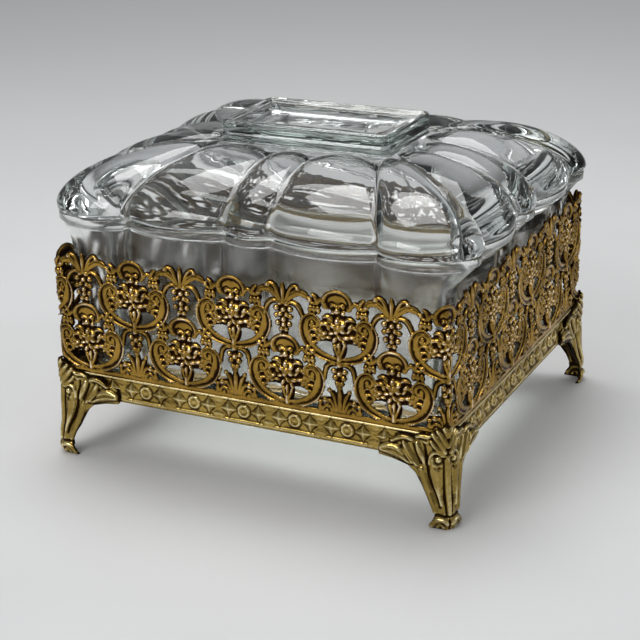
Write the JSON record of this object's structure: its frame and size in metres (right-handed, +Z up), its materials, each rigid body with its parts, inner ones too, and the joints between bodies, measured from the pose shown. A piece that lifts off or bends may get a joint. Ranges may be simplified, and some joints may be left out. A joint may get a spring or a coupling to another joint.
{
  "type": "glass casket box",
  "caption": "Rectangular lobed pressed-glass box with a lift-off domed lid, standing in an openwork brass gallery stand on stamped corner feet.",
  "frame": {"origin": "centre of the footprint, on the surface that the four toes stand on", "axes": "+X along the long front face to the right, +Y from the front face to the back, +Z up"},
  "size_m": [0.1556, 0.1384, 0.1125],
  "materials": {
    "clear_glass": "clear pressed glass, faint green tint, softly rounded edges",
    "filigree_brass": "gilt stamped openwork, bright on the relief and dark brown in the recesses",
    "band_brass": "gilt stamped band, worn satin",
    "plain_brass": "plain sheet brass, dull",
    "foot_brass": "gilt stamped feet, polished relief with dark grooves"
  },
  "bodies": {
    "stand": {"filigree_gallery": "filigree_brass", "base_band": "band_brass", "tray_ledge": "plain_brass", "foot_front_left": "foot_brass", "foot_front_right": "foot_brass", "foot_back_left": "foot_brass", "foot_back_right": "foot_brass"},
    "tray": {"glass_tray": "clear_glass"},
    "lid": {"glass_lid": "clear_glass"}
  },
  "joints": [
    {"name": "tray_lift", "type": "slide", "parent": "stand", "child": "tray", "axis": [0, 0, 1], "range_m": [0, 0.07]},
    {"name": "lid_lift", "type": "slide", "parent": "tray", "child": "lid", "axis": [0, 0, 1], "range_m": [0, 0.06]}
  ]
}
